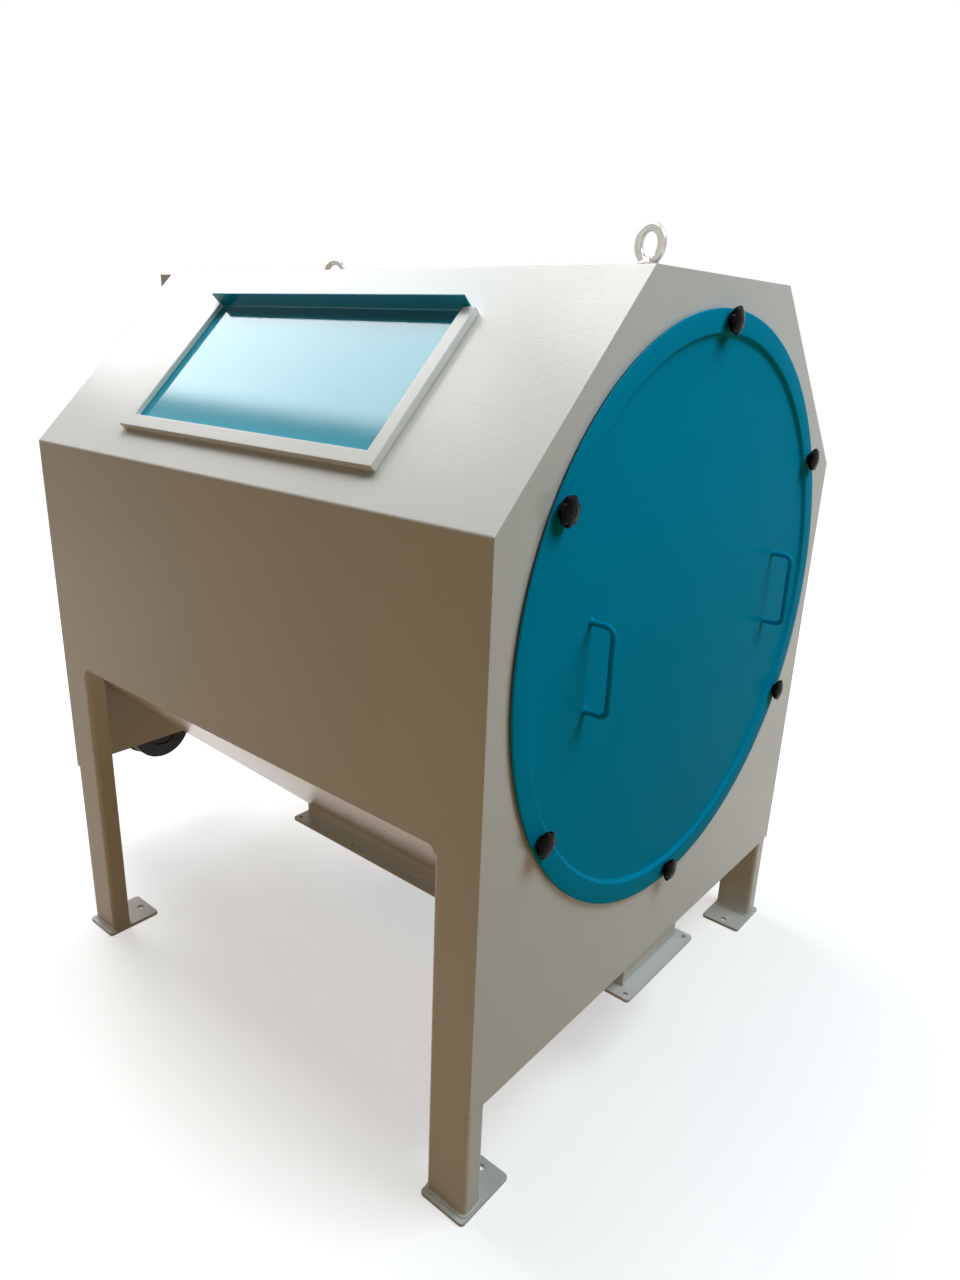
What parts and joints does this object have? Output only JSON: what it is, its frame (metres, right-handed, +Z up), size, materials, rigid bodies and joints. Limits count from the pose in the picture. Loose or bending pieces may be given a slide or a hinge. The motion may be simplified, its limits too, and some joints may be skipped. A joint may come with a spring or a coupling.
{
  "type": "drum sieve",
  "caption": "Drum sieve for grain: perforated turning drum in a sheet steel casing on legs, with hopper, round front cover held by star knobs, sliding hatch and belt drive.",
  "frame": {"origin": "on the floor, midway between the four anchor holes of the foot plates", "axes": "+X to the right along the front plate, +Y from the front cover to the drive at the rear, +Z up"},
  "size_m": [1.224, 1.5782, 1.6225],
  "materials": {
    "casing_paint": "glossy powder coat with orange peel, warm light grey",
    "cover_paint": "glossy powder coat with orange peel, turquoise blue",
    "hatch_paint": "glossy powder coat with orange peel, turquoise blue",
    "machine_paint": "semi-gloss machine enamel, dark grey",
    "knob_plastic": "glossy black moulded plastic",
    "gasket_rubber": "matt black sponge rubber",
    "belt_rubber": "matt black belt rubber",
    "zinc_plate": "bright zinc plate",
    "bare_steel": "plain rolled steel",
    "bearing_steel": "ground bearing steel",
    "pulley_iron": "blackened cast iron",
    "brush_back": "grey board with steel brackets",
    "bristles": "black nylon bristles"
  },
  "bodies": {
    "casing": {"front_plate": "casing_paint", "rear_plate": "casing_paint", "left_panel": "casing_paint", "right_panel": "casing_paint", "top_panel": "casing_paint", "front_left_leg": "casing_paint", "front_right_leg": "casing_paint", "rear_left_leg": "casing_paint", "rear_right_leg": "casing_paint", "front_left_foot": "casing_paint", "front_right_foot": "casing_paint", "rear_left_foot": "casing_paint", "rear_right_foot": "casing_paint", "left_hopper_plate": "casing_paint", "right_hopper_plate": "casing_paint", "rear_hopper_plate": "casing_paint", "neck_front_wall": "casing_paint", "outlet_flange": "casing_paint", "overs_divider": "casing_paint", "hatch_frame": "casing_paint", "eye_pads": "casing_paint", "inlet_box": "casing_paint", "inlet_flange": "casing_paint", "inlet_tray": "casing_paint", "drum_collar": "casing_paint", "drive_frame": "casing_paint", "belt_guard": "casing_paint", "weld_nuts": "bare_steel", "lifting_eyes": "zinc_plate", "bearing_outer_rings": "bearing_steel", "bearing_housing": "machine_paint", "bearing_caps": "machine_paint", "housing_bolts": "zinc_plate", "v_belts": "belt_rubber", "motor_plate": "machine_paint", "gearbox": "machine_paint", "motor": "machine_paint", "brush_board": "brush_back", "brush_bristles": "bristles"},
    "front_cover": {"cover_disc": "cover_paint", "cover_gasket": "gasket_rubber", "cover_handles": "cover_paint"},
    "hatch": {"hatch_panel": "hatch_paint"},
    "drum": {"drum_screen": "bare_steel", "drum_rings": "bare_steel", "drum_tie_bars": "bare_steel", "drum_flights": "bare_steel", "drum_spider": "machine_paint", "drum_hub": "machine_paint", "drum_shaft": "bare_steel", "driven_pulley": "pulley_iron", "inner_rings_and_balls": "bearing_steel"},
    "drive": {"drive_pulley": "pulley_iron", "output_shaft": "bare_steel"},
    "knob_1_body": {"knob_1": "knob_plastic"},
    "knob_2_body": {"knob_2": "knob_plastic"},
    "knob_3_body": {"knob_3": "knob_plastic"},
    "knob_4_body": {"knob_4": "knob_plastic"},
    "knob_5_body": {"knob_5": "knob_plastic"},
    "knob_6_body": {"knob_6": "knob_plastic"}
  },
  "joints": [
    {"name": "cover_slide", "type": "slide", "parent": "casing", "child": "front_cover", "axis": [0, -1, 0], "range_m": [0, 0.45]},
    {"name": "hatch_slide", "type": "slide", "parent": "casing", "child": "hatch", "axis": [0.7021, 0, 0.7121], "range_m": [0, 0.3]},
    {"name": "drum_spin", "type": "hinge", "parent": "casing", "child": "drum", "pos_m": [0, 0, 0.96], "axis": [0, 1, 0], "continuous": true},
    {"name": "drive_spin", "type": "hinge", "parent": "casing", "child": "drive", "pos_m": [-0.332, 0, 0.424], "axis": [0, 1, 0], "continuous": true},
    {"name": "knob_1_turn", "type": "hinge", "parent": "front_cover", "child": "knob_1_body", "pos_m": [0.45986, -0.64, 1.2255], "axis": [0, 1, 0], "continuous": true},
    {"name": "knob_2_turn", "type": "hinge", "parent": "front_cover", "child": "knob_2_body", "pos_m": [0, -0.64, 1.491], "axis": [0, 1, 0], "continuous": true},
    {"name": "knob_3_turn", "type": "hinge", "parent": "front_cover", "child": "knob_3_body", "pos_m": [-0.45986, -0.64, 1.2255], "axis": [0, 1, 0], "continuous": true},
    {"name": "knob_4_turn", "type": "hinge", "parent": "front_cover", "child": "knob_4_body", "pos_m": [-0.45986, -0.64, 0.6945], "axis": [0, 1, 0], "continuous": true},
    {"name": "knob_5_turn", "type": "hinge", "parent": "front_cover", "child": "knob_5_body", "pos_m": [0, -0.64, 0.429], "axis": [0, 1, 0], "continuous": true},
    {"name": "knob_6_turn", "type": "hinge", "parent": "front_cover", "child": "knob_6_body", "pos_m": [0.45986, -0.64, 0.6945], "axis": [0, 1, 0], "continuous": true}
  ],
  "couplings": [
    {"joint": "drive_spin", "follows": "drum_spin", "ratio": 2.8}
  ]
}
